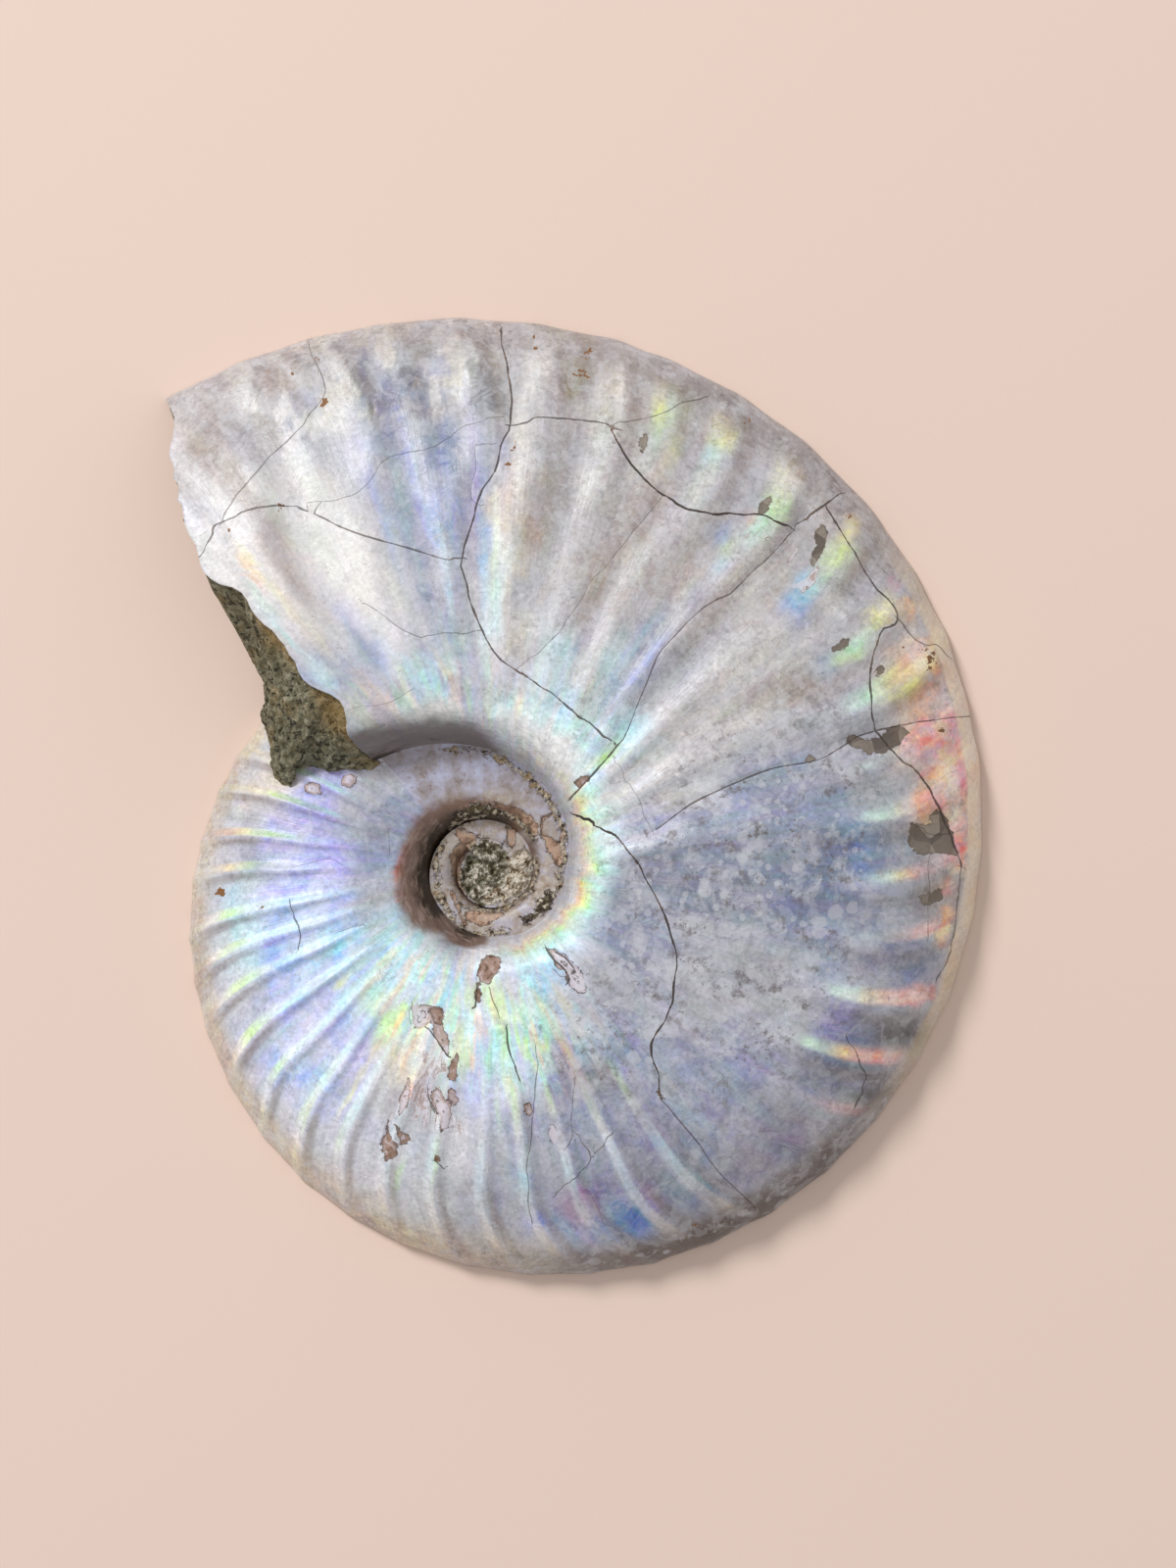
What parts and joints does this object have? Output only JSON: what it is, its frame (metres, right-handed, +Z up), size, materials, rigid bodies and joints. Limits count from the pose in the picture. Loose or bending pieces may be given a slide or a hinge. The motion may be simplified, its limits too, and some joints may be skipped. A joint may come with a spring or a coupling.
{
  "type": "ammonite fossil half",
  "caption": "Sawn half of an ammonite: ribbed, cracked, iridescent shell coiled around a stepped hollow, broken off at the mouth, with a flat polished cut face.",
  "frame": {"origin": "middle of the sawn face, the underside of the bounding box", "axes": "+Z up from the sawn face to the domed flank, +Y along the longest diameter, towards the mouth end of the coil"},
  "size_m": [0.0688, 0.0804, 0.0117],
  "materials": {
    "fossil": "polished pearly shell with grey-olive rock in the breaks"
  },
  "bodies": {
    "root": {"ammonite": "fossil"}
  },
  "joints": []
}
